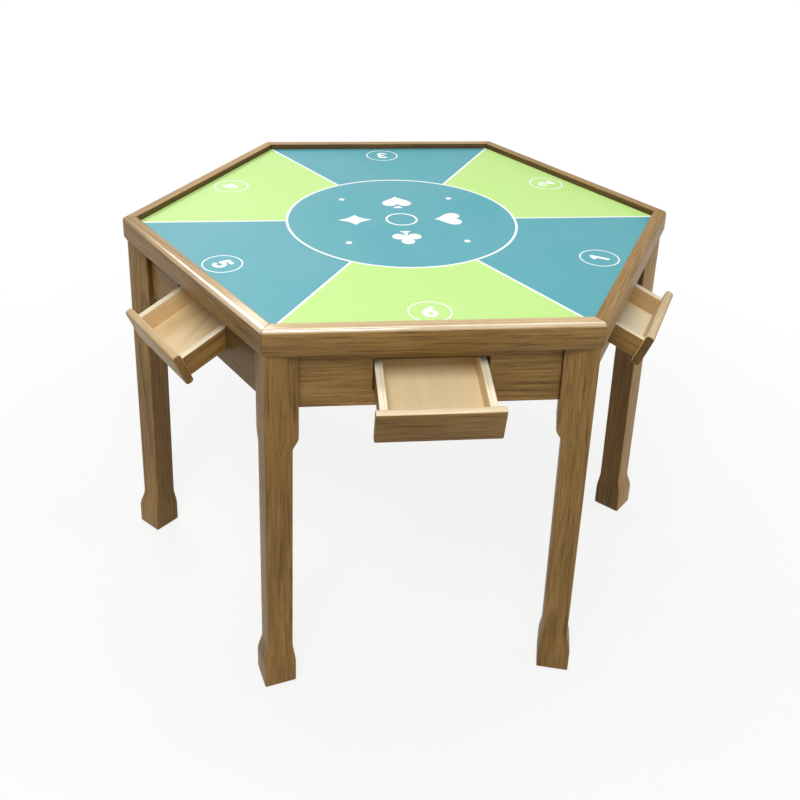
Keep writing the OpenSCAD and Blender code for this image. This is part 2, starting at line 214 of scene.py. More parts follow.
class StageSettings(PropertyGroup):
    """The camera's place and the lamps."""
    camera_place: FloatVectorProperty(name="Camera", description="Where the camera stands", subtype="XYZ",
                                      unit="LENGTH", default=(-0.2570, -1.9464, 1.5455))
    yaw: degrees("Yaw", "Turn of the view away from +Y", -6.0364)
    pitch: degrees("Pitch", "Downward tilt of the view", 21.2312)
    roll: degrees("Roll", "Turn of the view about its own axis", 1.626)
    focal: level("Focal length", "Focal length in widths of the picture", 1008.15 / PICTURE)
    shift_x: level("Shift X", "Shift of the picture in its own widths", (PICTURE / 2 - 377.80) / PICTURE)
    shift_y: level("Shift Y", "Shift of the picture in its own widths", (202.65 - PICTURE / 2) / PICTURE)
    ceiling: level("Ceiling", "Brightness of the broad lamp overhead", 0.7)
    tube: level("Tube", "Brightness of the narrow lamp overhead", 6.0)
    window: level("Window", "Brightness of the lamp behind on the left", 8.8)
    front: level("Front", "Brightness of the lamp above the viewer", 9.4)
    right: level("Right", "Brightness of the low lamp on the right", 4.2)
    fill: level("Fill", "Brightness of the low lamp in front", 1.1)
    left: level("Left", "Brightness of the low lamp on the left", 1.5)
    ambient: level("Ambient", "Light from all around", 0.2)


class Field:
    """A socket whose value varies over a surface. Arithmetic on it adds Math nodes."""

    def __init__(self, shader, socket):
        self.shader = shader
        self.socket = socket

    def apply(self, operation, *others):
        """A Math node with this value first."""
        return self.shader.math(operation, self, *others)

    def follow(self, operation, other):
        """A Math node with this value second."""
        return self.shader.math(operation, other, self)

    def also(self, name):
        """Another output of the same node."""
        return Field(self.shader, self.socket.node.outputs[name])

    __add__ = __radd__ = partialmethod(apply, "ADD")
    __mul__ = __rmul__ = partialmethod(apply, "MULTIPLY")
    __or__ = __ror__ = partialmethod(apply, "MAXIMUM")
    __sub__ = partialmethod(apply, "SUBTRACT")
    __rsub__ = partialmethod(follow, "SUBTRACT")
    __truediv__ = partialmethod(apply, "DIVIDE")
    __rtruediv__ = partialmethod(follow, "DIVIDE")
    __pow__ = partialmethod(apply, "POWER")
    __rpow__ = partialmethod(follow, "POWER")
    __gt__ = partialmethod(apply, "GREATER_THAN")
    __lt__ = partialmethod(apply, "LESS_THAN")
    __abs__ = partialmethod(apply, "ABSOLUTE")


class Shader:
    """The nodes of a material or of the world."""

    def __init__(self, owner):
        self.owner = owner
        owner.use_nodes = True
        self.tree = owner.node_tree
        self.tree.nodes.clear()

    def node(self, kind, inputs=None, **settings):
        """Adds a node and returns its first output. Settings are set before the sockets' values or links."""
        node = self.tree.nodes.new(kind)
        for name, value in settings.items():
            if name == "stops":
                self.set_stops(node.color_ramp, value)
            else:
                setattr(node, name, value)
        for name, value in (inputs or {}).items():
            if isinstance(value, Field):
                self.tree.links.new(value.socket, node.inputs[name])
            else:
                node.inputs[name].default_value = value
        return Field(self, node.outputs[0]) if node.outputs else None

    @staticmethod
    def set_stops(ramp, stops):
        while len(ramp.elements) < len(stops):
            ramp.elements.new(1)
        for element, (place, shade) in zip(ramp.elements, stops):
            element.position = place
            element.color = (*shade, 1)

    def math(self, operation, *values):
        return self.node("ShaderNodeMath", dict(enumerate(values)), operation=operation)

    def noise(self, x, y, z, detail):
        place = self.node("ShaderNodeCombineXYZ", {0: x, 1: y, 2: z})
        return self.node("ShaderNodeTexNoise", {"Vector": place, "Scale": 1, "Detail": detail})

    def noise_of(self, value):
        """Noise that depends on one number."""
        return self.node("ShaderNodeTexNoise", {"W": value, "Scale": 1, "Detail": 1}, noise_dimensions="1D")

    def stretched(self, axes, along, across, detail=2):
        """Noise that changes so many times in a metre, along the first axis and across it."""
        x, y, z = axes
        return self.noise(x * along, y * across, z * across, detail)

    def parts(self, vector):
        first = self.node("ShaderNodeSeparateXYZ", {0: vector})
        return first, first.also("Y"), first.also("Z")

    def attribute(self, name):
        """A vector that a piece's mesh carries at its points."""
        return self.parts(self.node("ShaderNodeAttribute", attribute_name=name).also("Vector"))

    def held(self, value, low, high):
        """A number brought from between two limits to between 0 and 1, with soft ends."""
        inputs = {"Value": value, "From Min": low, "From Max": high}
        return self.node("ShaderNodeMapRange", inputs, interpolation_type="SMOOTHSTEP")

    def mixed(self, factor, first, second, blend="MIX"):
        """A colour between two, or one colour laid over another."""
        inputs = {0: factor, 6: opaque(first), 7: opaque(second)}
        return self.node("ShaderNodeMix", inputs, data_type="RGBA", blend_type=blend).also(2)

    def ramp(self, value, stops):
        return self.node("ShaderNodeValToRGB", {0: value}, stops=stops)

    def surface(self, inputs):
        """Ends a material in one plain shader."""
        plain = self.node("ShaderNodeBsdfPrincipled", inputs)
        self.node("ShaderNodeOutputMaterial", {"Surface": plain})
        return self.owner

    def bump(self, height, strength, distance):
        return self.node("ShaderNodeBump", {"Height": height, "Strength": strength, "Distance": distance})

    def seen(self):
        """One where the camera sees the surface, plainly, in gloss or through glass."""
        path = self.node("ShaderNodeLightPath")
        return path | path.also("Is Glossy Ray") | path.also("Is Transmission Ray")


def opaque(shade):
    """A colour with its fourth value, or the link that it is."""
    return shade if isinstance(shade, Field) else (*shade[:3], 1)


def board_axes(shader):
    """Along, across and through a board, as its mesh says."""
    return shader.attribute(GRAIN)


def solid_axes(shader):
    """The table's own axes."""
    return shader.parts(shader.node("ShaderNodeTexCoord").also("Object"))


def turned_axes(shader, on_seats):
    """Axes of the nearest seat or leg: outwards, sideways and up, and its place round the table."""
    x, y, z = solid_axes(shader)
    step = y.apply("ARCTAN2", x) / SEAT_STEP
    number = step.apply("FLOOR") + 0.5 if on_seats else (step + 0.5).apply("FLOOR")
    angle = number * SEAT_STEP
    cosine = angle.apply("COSINE")
    sine = angle.apply("SINE")
    return x * cosine + y * sine, y * cosine - x * sine, z, number


def wood(shader, axes, tones, figure):
    """Wood whose rings, fibres and pores run along the first axis: its colour, its darkness and its fibres."""
    _, y, z = axes
    dark, middle, light = tones
    wander = shader.stretched(axes, 1.8, 9, detail=1) - 0.5
    wave = shader.stretched(axes, 8, 60) - 0.5
    radius = (y * y + z * z) ** 0.5 + wander * figure["wander"] + wave * figure["wave"]
    # Rings of uneven width, each with dark late wood in its outer part, which shows in patches
    count = radius / figure["ring"]
    count = count + (shader.noise_of(count * 0.35) - 0.5) * 4
    patches = shader.held(shader.stretched(axes, 3.5, 30), 0.36, 0.66)
    turn = count.apply("FRACT")
    late = shader.held(turn, 0.4, 0.85) * (1 - shader.held(turn, 0.85, 1)) * patches
    late = late * shader.noise_of(count.apply("FLOOR") * 1.7)
    lines = shader.held(shader.stretched(axes, 11, 420), 0.52, 0.74)
    streaks = shader.stretched(axes, 11, 260, detail=3) - 0.5
    fibres = shader.stretched(axes, 22, 900) - 0.5
    slow = shader.stretched(axes, 2.5, 22) - 0.5
    pores = shader.held(shader.stretched(axes, 60, 1500), 0.58, 0.68)
    depth = (late * figure["late"] + lines * figure["lines"] + streaks * figure["streaks"] + slow * figure["slow"]
             + fibres * figure["fibres"] + pores * figure["pores"] + figure["bias"])
    return shader.ramp(depth, [(0, light), (0.45, middle), (1, dark)]), depth, fibres


# The width of a ring, how far it wanders, and how strongly each part of the figure darkens the wood
OAK_FIGURE = dict(ring=0.0070, wander=0.034, wave=0.0030, late=0.42, lines=0.36, streaks=0.76, slow=0.64,
                  fibres=0.50, pores=0.28, bias=0.305)
PALE_FIGURE = dict(ring=0.0120, wander=0.040, wave=0.0030, late=0.35, lines=0.10, streaks=0.35, slow=0.60,
                   fibres=0.30, pores=0.06, bias=0.33)

# Colours laid over the wood: a warm tone, the tint of painted shade on the outer wood, the tint of painted shade
# on the pale wood, and a glue line
WARM = (1.0, 0.88, 0.70)
PAINTED_SHADE_TINT = (0.020, 0.011, 0.005)
SHADED = (0.58, 0.46, 0.33)
GLUE = (0.70, 0.52, 0.32)


def outer_wood(name, axes_of, painted_shade_of=None):
    """The outer wood under satin lacquer. A piece's traits say where it is pale, from wear and from painted light
    and highlights, where it gets painted shade, and where it is polished.
    """
    colours = bpy.context.scene.card_wood
    shader = Shader(bpy.data.materials.new(name))
    tones = (colours.oak_dark, colours.oak_mid, colours.oak_light)
    brown, depth, fibres = wood(shader, axes_of(shader), tones, OAK_FIGURE)
    golden = shader.ramp(depth, [(0, colours.golden_light), (1, colours.golden_dark)])
    pale = shader.ramp(depth, [(0, colours.pale_light), (1, colours.pale_dark)])
    pallor, polish, warmth = shader.attribute(TRAITS)
    tint = shader.mixed(warmth, brown, WARM, "MULTIPLY")
    # Golden at a third of full pallor and pale at full pallor; the pallor is wear and also painted light and
    # highlights
    tint = shader.mixed(pallor * 3.3, tint, golden)
    tint = shader.mixed(pallor * 1.43 - 0.43, tint, pale)
    # Painted shade, from the piece's own function where it has one, and elsewhere where its pallor is below 0
    painted_shade = painted_shade_of(shader) if painted_shade_of else pallor * -1
    tint = shader.mixed(painted_shade, tint, PAINTED_SHADE_TINT)
    return shader.surface({
        "Base Color": tint,
        "Roughness": fibres * 0.20 + 0.44,
        "Specular IOR Level": 0.12,
        "Coat Weight": polish * 0.96 + 0.04,
        "Coat Roughness": 0.10,
        "Coat IOR": 2.0,
        "Normal": shader.bump(fibres - depth * 0.3, 0.12, 0.0006),
    })


def pale_wood(name, axes_of):
    """The pale wood of the drawer boxes, clear lacquered, with painted light and shade from its traits."""
    colours = bpy.context.scene.card_wood
    shader = Shader(bpy.data.materials.new(name))
    tones = (colours.pale_dark, colours.pale_mid, colours.pale_light)
    tint, depth, fibres = wood(shader, axes_of(shader), tones, PALE_FIGURE)
    pallor, across, _ = shader.attribute(TRAITS)
    # A drawer's side is glued of two layers, and their line lies nearly two thirds of the way in
    glue = 1 - shader.held(abs(across - 0.64), 0.02, 0.07)
    # Painted light pales the wood where the traits are above 0, and painted shade darkens it where they are below
    # 0
    tint = shader.mixed(pallor, tint, colours.pale_light)
    tint = shader.mixed(pallor * -1, tint, SHADED, "MULTIPLY")
    tint = shader.mixed(glue * 0.55, tint, GLUE, "MULTIPLY")
    return shader.surface({
        "Base Color": tint,
        "Roughness": fibres * 0.16 + 0.46,
        "Specular IOR Level": 0.35,
        "Coat Weight": 0.12,
        "Coat Roughness": 0.22,
        "Normal": shader.bump(fibres - depth * 0.3, 0.08, 0.0005),
    })


# In the next three the place round the table shifts the figure, so that no two seats match
def outward_grain(shader):
    """Grain from the table's centre outwards, on every seat."""
    outwards, sideways, z, number = turned_axes(shader, on_seats=True)
    return outwards, sideways + number * 0.31, z + 0.4


def sideways_grain(shader):
    """Grain along a seat's side."""
    outwards, sideways, z, number = turned_axes(shader, on_seats=True)
    return sideways + number * 1.7, outwards - RAIL_IN + 0.06 + number * 0.011, z - APRON_LOW.z - 0.05


def corner_grain(shader):
    """Grain across a corner."""
    outwards, sideways, z, number = turned_axes(shader, on_seats=False)
    return sideways + number * 1.1, outwards - 0.3, z - 0.4


def apron_painted_shade(shader):
    """How much painted shade an apron gets: round its opening and along the legs, where shade falls, and a
    painted shadow at one end.
    """
    sizes = bpy.context.scene.card_aprons
    leg = bpy.context.scene.card_legs
    outwards, sideways, z, number = turned_axes(shader, on_seats=True)
    side = abs(sideways)
    middle = sizes.opening_sill + sizes.opening_height / 2
    from_opening = (side - sizes.opening_width / 2) | (abs(z - middle) - sizes.opening_height / 2)
    # A leg's face isn't square to the apron that meets it, but leans from square by this angle
    lean = math.radians(15)
    corner = RIM_RADIUS - leg.setback / COS_HALF
    leg_face = corner * math.sin(lean + SEAT_STEP / 2) - leg.block_side
    from_leg = leg_face - (outwards * math.sin(lean) + side * math.cos(lean))
    reach = sizes.painted_shade
    painted_opening_shade = (1 - shader.held(from_opening, reach * 0.3, reach)) * 0.95
    # Only the aprons of seats 5 and 1 get a painted shadow at one end
    shadowed_seat = (abs(number + 2.5) < 0.2) | (abs(number + 0.5) < 0.2)
    painted_end_shadow = shadowed_seat * shader.held(sideways, -0.05, 0.11) * 0.48
    return painted_opening_shade | (1 - shader.held(from_leg, 0, reach)) * 0.9 | painted_end_shadow


def clouded(name, scale, detail, shades, roughness, spread, metallic=0.0):
    """A plain finish with a fine cloud in its colour and its gloss."""
    shader = Shader(bpy.data.materials.new(name))
    cloud = shader.stretched(solid_axes(shader), scale, scale, detail)
    return shader.surface({
        "Base Color": shader.mixed(cloud, *shades),
        "Metallic": metallic,
        "Roughness": cloud * spread + roughness,
    })


# Threads of the mat's cloth in a metre
WEAVE = 900


def mat_print():
    """The mat's print: six sectors, the lines between them, the centre disc and the numbers' circles."""
    sizes = bpy.context.scene.card_mat
    colours = bpy.context.scene.card_print
    shader = Shader(bpy.data.materials.new("printed_mat"))
    x, y, z = solid_axes(shader)
    outwards, sideways, _, _ = turned_axes(shader, on_seats=True)
    radius = (x * x + y * y) ** 0.5
    half_line = sizes.line / 2
    # Every other sector is green, because this product changes its sign from each sector to the next
    green = y * (x * x * 3 - y * y) > 0
    outside = radius > sizes.ring_radius
    # The distance from the line between two sectors, put far off inside the disc, which has no such line
    from_edge = (outwards * SIN_HALF - abs(sideways) * COS_HALF) * outside + (1 - outside)
    from_badge = ((outwards - sizes.badge_place) ** 2 + sideways * sideways) ** 0.5
    badge = abs(from_badge - sizes.badge_radius) < sizes.badge_line / 2
    white = (abs(from_edge) < half_line) | (abs(radius - sizes.ring_radius) < half_line) | badge
    cloud = shader.noise(x * 7, y * 7, z, 3)
    weave = shader.stretched((x, y, z), WEAVE, WEAVE, 1)
    ground = shader.mixed(green * outside, colours.blue, colours.green)
    ground = shader.mixed(cloud * 0.08, ground, (1, 1, 1))
    ground = shader.mixed(weave * 0.10, ground, (0, 0, 0))
    return shader.surface({
        "Base Color": shader.mixed(white, ground, colours.white),
        "Roughness": weave * 0.12 + 0.46,
        "Normal": shader.bump(weave, 0.10, 0.0002),
    })


def white_ink():
    """White ink of the numbers and suits."""
    shader = Shader(bpy.data.materials.new("white_ink"))
    weave = shader.stretched(solid_axes(shader), WEAVE, WEAVE, 1)
    tint = shader.mixed(weave, (0.93, 0.95, 0.93), bpy.context.scene.card_print.white)
    return shader.surface({"Base Color": tint, "Roughness": 0.5})


# Each finish's function and what it is given
FINISHES = {
    "oak": (outer_wood, "lacquered_oak", board_axes),
    "apron oak": (outer_wood, "lacquered_oak_aprons", sideways_grain, apron_painted_shade),
    "pale": (pale_wood, "pale_wood", board_axes),
    "runner": (pale_wood, "pale_wood_runners", outward_grain),
    "corner": (pale_wood, "pale_wood_corners", corner_grain),
    "board": (pale_wood, "pale_wood_board", solid_axes),
    "steel": (clouded, "zinc_steel", 90, 3, ((0.45, 0.46, 0.48), (0.66, 0.66, 0.64)), 0.22, 0.25, 1.0),
    "nylon": (clouded, "natural_nylon", 60, 2, ((0.60, 0.58, 0.52), (0.72, 0.70, 0.64)), 0.45, 0.15),
    "print": (mat_print,),
    "ink": (white_ink,),
}


@cache
def material(name):
    """A finish's material, made when it is first asked for."""
    make, *details = FINISHES[name]
    return make(*details)


def paint(node, name):
    """Gives a packed solid its material."""
    mesh = frame["nodes"][node].data
    mesh.materials.clear()
    mesh.materials.append(material(name))


def ease_edges(node, width):
    """Rounds a packed solid's edges a little."""
    ease = frame["nodes"][node].modifiers.new("eased edges", "BEVEL")
    ease.width = width
    ease.segments = 2
    ease.limit_method = "ANGLE"
    ease.angle_limit = math.radians(40)
    ease.harden_normals = True


def seat_turn(number):
    """From a seat's own axes, with +X pointing out of its side, to the table's."""
    return Matrix.Rotation(SEAT_STEP * number - math.pi / 2, 4, "Z")


def leg_turn(number):
    """From a leg's own axes, with +X pointing out of its corner, to the table's."""
    return Matrix.Rotation(SEAT_STEP * (number - 1), 4, "Z")


def mesh_of(name, bm):
    """The mesh of what was built, which is then freed."""
    mesh = bpy.data.meshes.new(name)
    bm.to_mesh(mesh)
    bm.free()
    return mesh


def add_object(name, data):
    """Makes an object and links it to the scene."""
    added = bpy.data.objects.new(name, data)
    bpy.context.scene.collection.objects.link(added)
    return added


def add_piece(name, bm, place, body, finishes):
    """Makes an object of a mesh that is in a place's own axes."""
    bmesh.ops.recalc_face_normals(bm, faces=bm.faces)
    mesh = mesh_of(name, bm)
    mesh.transform(place)
    for finish in finishes:
        mesh.materials.append(material(finish))
    piece = add_object(name, mesh)
    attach(piece, body)
    return piece


def add_board(name, bm, place, along, body, node, finishes, traits_at=None):
    """Makes a wooden piece in a node's place. along turns a point there so that X runs with the grain."""
    places = [vertex.co.copy() for vertex in bm.verts]
    piece = add_piece(name, bm, place, body, finishes)
    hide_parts(node)
    mesh = piece.data
    draw = random.Random(name)
    shift = Vector((draw.uniform(0, 9), draw.uniform(0.03, 0.07), draw.uniform(0.02, 0.09)))
    warmth = draw.uniform(0.0, 0.5)
    mesh.attributes.new(GRAIN, "FLOAT_VECTOR", "POINT")
    mesh.attributes.new(TRAITS, "FLOAT_VECTOR", "POINT")
    grain = [axis for point in places for axis in along(point) + shift]
    traits = [trait for point in places for trait in (*(traits_at(point) if traits_at else (0, 0)), warmth)]
    mesh.attributes[GRAIN].data.foreach_set("vector", grain)
    mesh.attributes[TRAITS].data.foreach_set("vector", traits)
    mesh.shade_smooth()
    mesh.set_sharp_from_angle(angle=math.radians(32))
    return piece


def along_x(point):
    """Grain along a piece's own X."""
    return point


def along_y(point):
    """Grain along a piece's own Y."""
    return point.yxz


def shares(count):
    """The numbers from 0 to 1 in so many even steps."""
    return [step / count for step in range(count + 1)]


def softened(share):
    """A share from 0 to 1 that starts and ends slowly."""
    return share * share * (3 - 2 * share)


def arc(centre, radius, start, end, steps):
    """Points on an arc in a plane, with angles in degrees."""
    for step in range(steps + 1):
        angle = math.radians(start + (end - start) * step / steps)
        yield centre[0] + radius * math.cos(angle), centre[1] + radius * math.sin(angle)


def circle(centre, radius, count):
    """Points all round a circle."""
    return list(arc(centre, radius, 0, 360, count))[:-1]


def rounded(low, high, bend, steps):
    """The points of each rounded corner of a rectangle, going round from its high corner."""
    (left, bottom), (right, top) = low, high
    centres = ((right - bend, top - bend), (left + bend, top - bend),
               (left + bend, bottom + bend), (right - bend, bottom + bend))
    return [list(arc(centre, bend, 90 * k, 90 * k + 90, steps)) for k, centre in enumerate(centres)]


def drawn_in(outline, centre, near):
    """An outline drawn in towards a centre, by a factor for each axis."""
    return [tuple(c + (v - c) * factor for v, c, factor in zip(point, centre, near)) for point in outline]


def scaled(points, factor):
    """Points of a flat drawing at another size."""
    return [(x * factor, y * factor) for x, y in points]


def skin(bm, rings, looped=False):
    """Adds a skin through rings of as many points each, with two ends or closed in a loop."""
    rows = [[bm.verts.new(point) for point in ring] for ring in rings]
    count = len(rows[0])
    following = rows[1:] + rows[:1] if looped else rows[1:]
    for low, high in zip(rows, following):
        for k in range(count):
            bm.faces.new((low[k], low[(k + 1) % count], high[(k + 1) % count], high[k]))
    if not looped:
        bm.faces.new(list(reversed(rows[0])))
        bm.faces.new(rows[-1])
    return bm


def eased_block(low, high, ease, steps=2):
    """A block between two corners with its edges rounded."""
    bm = bmesh.new()
    bmesh.ops.create_cube(bm, size=1)
    low, high = Vector(low), Vector(high)
    for vertex in bm.verts:
        vertex.co = (low + high) / 2 + Vector(a * b for a, b in zip(vertex.co, high - low))
    bmesh.ops.bevel(bm, geom=bm.edges[:], offset=ease, segments=steps, profile=0.5, affect="EDGES")
    return bm


def take_in(into, other):
    """Adds another mesh's faces to a mesh, and frees the other one."""
    spare = mesh_of("spare", other)
    into.from_mesh(spare)
    bpy.data.meshes.remove(spare)


class CARDTABLE_OT_rim(Operator):
    """Makes the six mitred rails of the rim"""
    bl_idname = "cardtable.rim"
    bl_label = "Rim"

    # How pale and polished each seat's rail is at its two ends: partly hands' wear, partly a painted highlight
    # and sheen
    use = {1: (0.08, 0.08), 2: (0.2, 0.2), 3: (0.4, 0.4), 4: (0.5, 0.3), 5: (0.3, 1.0), 6: (1.0, 1.0)}

    # Painted shade on the inner wall, and in a mitre's groove at its sides and on top
    painted_wall_shade = 0.66
    painted_groove_shade = 0.8
    painted_groove_shade_top = 0.35

    def execute(self, context):
        sizes = context.scene.card_rim
        outline = self.outline(sizes)
        centre = ((RAIL_IN + RIM_APOTHEM) / 2, (RAIL_LOW.z + RAIL_HIGH.z) / 2)
        # The mitre's edge is drawn in a little, which leaves the fine groove of a glued mitre
        near = 1 - sizes.mitre_ease / (RIM_APOTHEM - centre[0])
        rings = [self.section(sizes, outline, share, sizes.mitre_ease) for share in shares(5)]
        rings.append(self.section(sizes, drawn_in(outline, centre, (near, near)), 1, 0))
        mirrored = [[(x, -y, z) for x, y, z in ring] for ring in reversed(rings)]
        for number in SEATS:
            add_board(f"rail_{number}", skin(bmesh.new(), mirrored + rings), seat_turn(number), along_y, TABLE,
                      f"rim_rail_{number}", ["oak"], lambda point: self.traits(sizes, number, point))
        return {"FINISHED"}

    @staticmethod
    def section(sizes, outline, share, back):
        """A rail's section near its end: the outer part follows the rim's rounded corner, the rest the mitre."""
        centre = RIM_APOTHEM - sizes.corner_round
        turn = share * SEAT_STEP / 2
        points = []
        for r, z in outline:
            past = r - centre
            if past > 0:
                x = centre + past * math.cos(turn)
                y = centre * MITRE_SLOPE + past * math.sin(turn)
            else:
                x = r
                y = r * MITRE_SLOPE - (1 - share) * sizes.corner_round / 2
            points.append((x, y - back, z))
        return points

    @staticmethod
    def outline(sizes):
        """Outline across a rail: distance from the table's centre, and height."""
        low, high = RAIL_LOW.z, RAIL_HIGH.z
        bend = sizes.round_over
        ease = sizes.inner_ease
        outline = [(RAIL_IN, low), (RIM_APOTHEM - sizes.bevel_width, low)]
        outline.append((RIM_APOTHEM, low + sizes.bevel_height))
        outline += arc((RIM_APOTHEM - bend, high - bend), bend, 0, 90, 10)
        outline += [(RIM_APOTHEM - 1.2 * bend, high), (RAIL_IN + 2 * ease, high)]
        outline += arc((RAIL_IN + ease, high - ease), ease, 90, 180, 3)
        return outline

    def traits(self, sizes, number, point):
        """How pale the rail is, partly from hands' wear and partly a painted highlight and sheen, and how
        polished. Its inner wall and its mitres get painted shade.
        """
        use = self.use[number][point.y > 0]
        on_top = point.z > RAIL_HIGH.z - 0.1 * sizes.round_over
        if abs(abs(point.y) - point.x * MITRE_SLOPE) < 0.2 * sizes.mitre_ease:
            return -(self.painted_groove_shade_top if on_top else self.painted_groove_shade), 0
        if point.x < RAIL_IN + 1.2 * sizes.inner_ease:
            on_edge = point.z > RAIL_HIGH.z - 0.9 * sizes.inner_ease
            return (0.3 * use, 0.7 * use ** 2) if on_edge else (-self.painted_wall_shade, 0)
        if point.x < RIM_APOTHEM - 1.1 * sizes.round_over:
            return 0.40 * use * on_top, 0.3 * use ** 2 * on_top
        # Palest half way up the rounded edge and a little at its top, where wear and the painted highlight lie
        rise = max(0.0, min(1.0, (point.z - RAIL_HIGH.z) / sizes.round_over + 1))
        worn_and_highlit = 2 * rise * math.sqrt(1 - rise * rise) + 0.5 * rise ** 6
        return 0.60 * use * worn_and_highlit, use ** 2 * min(1.0, 2 * rise)


class CARDTABLE_OT_legs(Operator):
    """Makes the six legs with their blocks and flared feet"""
    bl_idname = "cardtable.legs"
    bl_label = "Legs"

    # Painted shade on each leg's outer faces, where below 0 is painted light, and on every leg's inner faces
    # under the table
    dark = {1: -0.08, 2: 0.08, 3: 0.08, 4: -0.04, 5: 0.07, 6: 0.02}
    painted_shade_inside = 0.46

    def execute(self, context):
        sizes = context.scene.card_legs
        corner = RIM_RADIUS - sizes.setback / COS_HALF
        spans = {round(height, 6): (inner, outer) for height, inner, outer, _ in self.levels(sizes)}

        def along_fibres(point):
            """The fibres follow the leg's outline from block to foot."""
            inner, outer = spans.get(round(point.z, 6), (-sizes.block_side, 0))
            near = sizes.shaft_low / (outer - inner)
            return Vector((point.z, (point.x - outer) * near, (point.y - outer) * near))

        place = Matrix.Translation((corner, 0, 0)) @ Matrix.Rotation(math.radians(-45), 4, "Z")
        rings = [self.ring(sizes, *section) for section in self.levels(sizes)]
        top = [[place.inverted() @ Vector((x, y, z)) for x, y in self.top(sizes, corner)]
               for z in (RAIL_LOW.z, BOARD_LOW.z)]
        for number in SEATS:
            bm = skin(skin(bmesh.new(), rings), top)
            add_board(f"leg_body_{number}", bm, leg_turn(number) @ place, along_fibres, TABLE, f"leg_{number}",
                      ["oak"], lambda point: (-self.leg_painted_shade(sizes, number, spans, point), 0))
        return {"FINISHED"}

    def leg_painted_shade(self, sizes, number, spans, point):
        """The painted shade here: the faces under the table get more than the outer ones."""
        inner, _ = spans.get(round(point.z, 6), (-sizes.block_side, 0))
        inside = min(point.x, point.y) < inner + 0.25 * sizes.edge_round
        return self.painted_shade_inside if inside else self.dark[number]

    @staticmethod
    def levels(sizes):
        """Height, inner face, outer face and whether the inner corner is flat, from the floor up."""
        foot = GLIDE_LOW.z + sizes.glide
        inner = -sizes.shaft_low - sizes.flare_in
        bevel = sizes.foot_bevel
        yield foot, inner + bevel, sizes.flare_out - bevel, False
        yield foot + bevel, inner, sizes.flare_out, False
        for rise in shares(12):
            share = 1 - rise
            flare = softened(share)
            height = sizes.flare_start - (sizes.flare_start - sizes.flare_end) * share
            yield height, -sizes.shaft_low - sizes.flare_in * flare, sizes.flare_out * flare, False
        slope_start = sizes.block_end - sizes.slope_height
        for share in shares(8):
            side = sizes.shaft_top + (sizes.block_side - sizes.shaft_top) * softened(share)
            yield slope_start + sizes.slope_height * share, -side, 0, False
        yield BLOCK_LOW.z, -sizes.block_side, 0, False
        yield BLOCK_LOW.z, -sizes.block_side, 0, True
        yield RAIL_LOW.z, -sizes.block_side, 0, True

    @staticmethod
    def ring(sizes, height, inner, outer, flat):
        """A square with rounded corners, its inner corner cut flat where the corner block bears."""
        steps = 4
        corners = rounded((inner, inner), (outer, outer), sizes.edge_round, steps)
        if flat:
            reach = sizes.inner_flat / math.sqrt(2)
            corners[2] = [(inner + reach * share, inner + reach * (1 - share)) for share in shares(steps)]
        return [(x, y, height) for corner in corners for x, y in corner]

    @staticmethod
    def top(sizes, corner):
        """Outline of the block's part inside the rim, seen from above."""
        inner_radius = corner - sizes.block_side * math.sqrt(2)
        reach = (RAIL_IN - inner_radius * COS_HALF) / (COS_HALF + SIN_HALF)
        half = sizes.inner_flat / 2
        return [(RAIL_IN / COS_HALF, 0), (inner_radius + reach, reach), (inner_radius + half, half),
                (inner_radius + half, -half), (inner_radius + reach, -reach)]


class CARDTABLE_OT_frame(Operator):
    """Finishes the aprons, the board and the timber under it"""
    bl_idname = "cardtable.frame"
    bl_label = "Frame"

    def execute(self, context):
        for number in SEATS:
            paint(f"apron_{number}", "apron oak")
            ease_edges(f"apron_{number}", context.scene.card_aprons.edge_ease)
        paint("top_board", "board")
        paint("corner_blocks", "corner")
        paint("mitre_tongues", "corner")
        paint("drawer_runners", "runner")
        return {"FINISHED"}


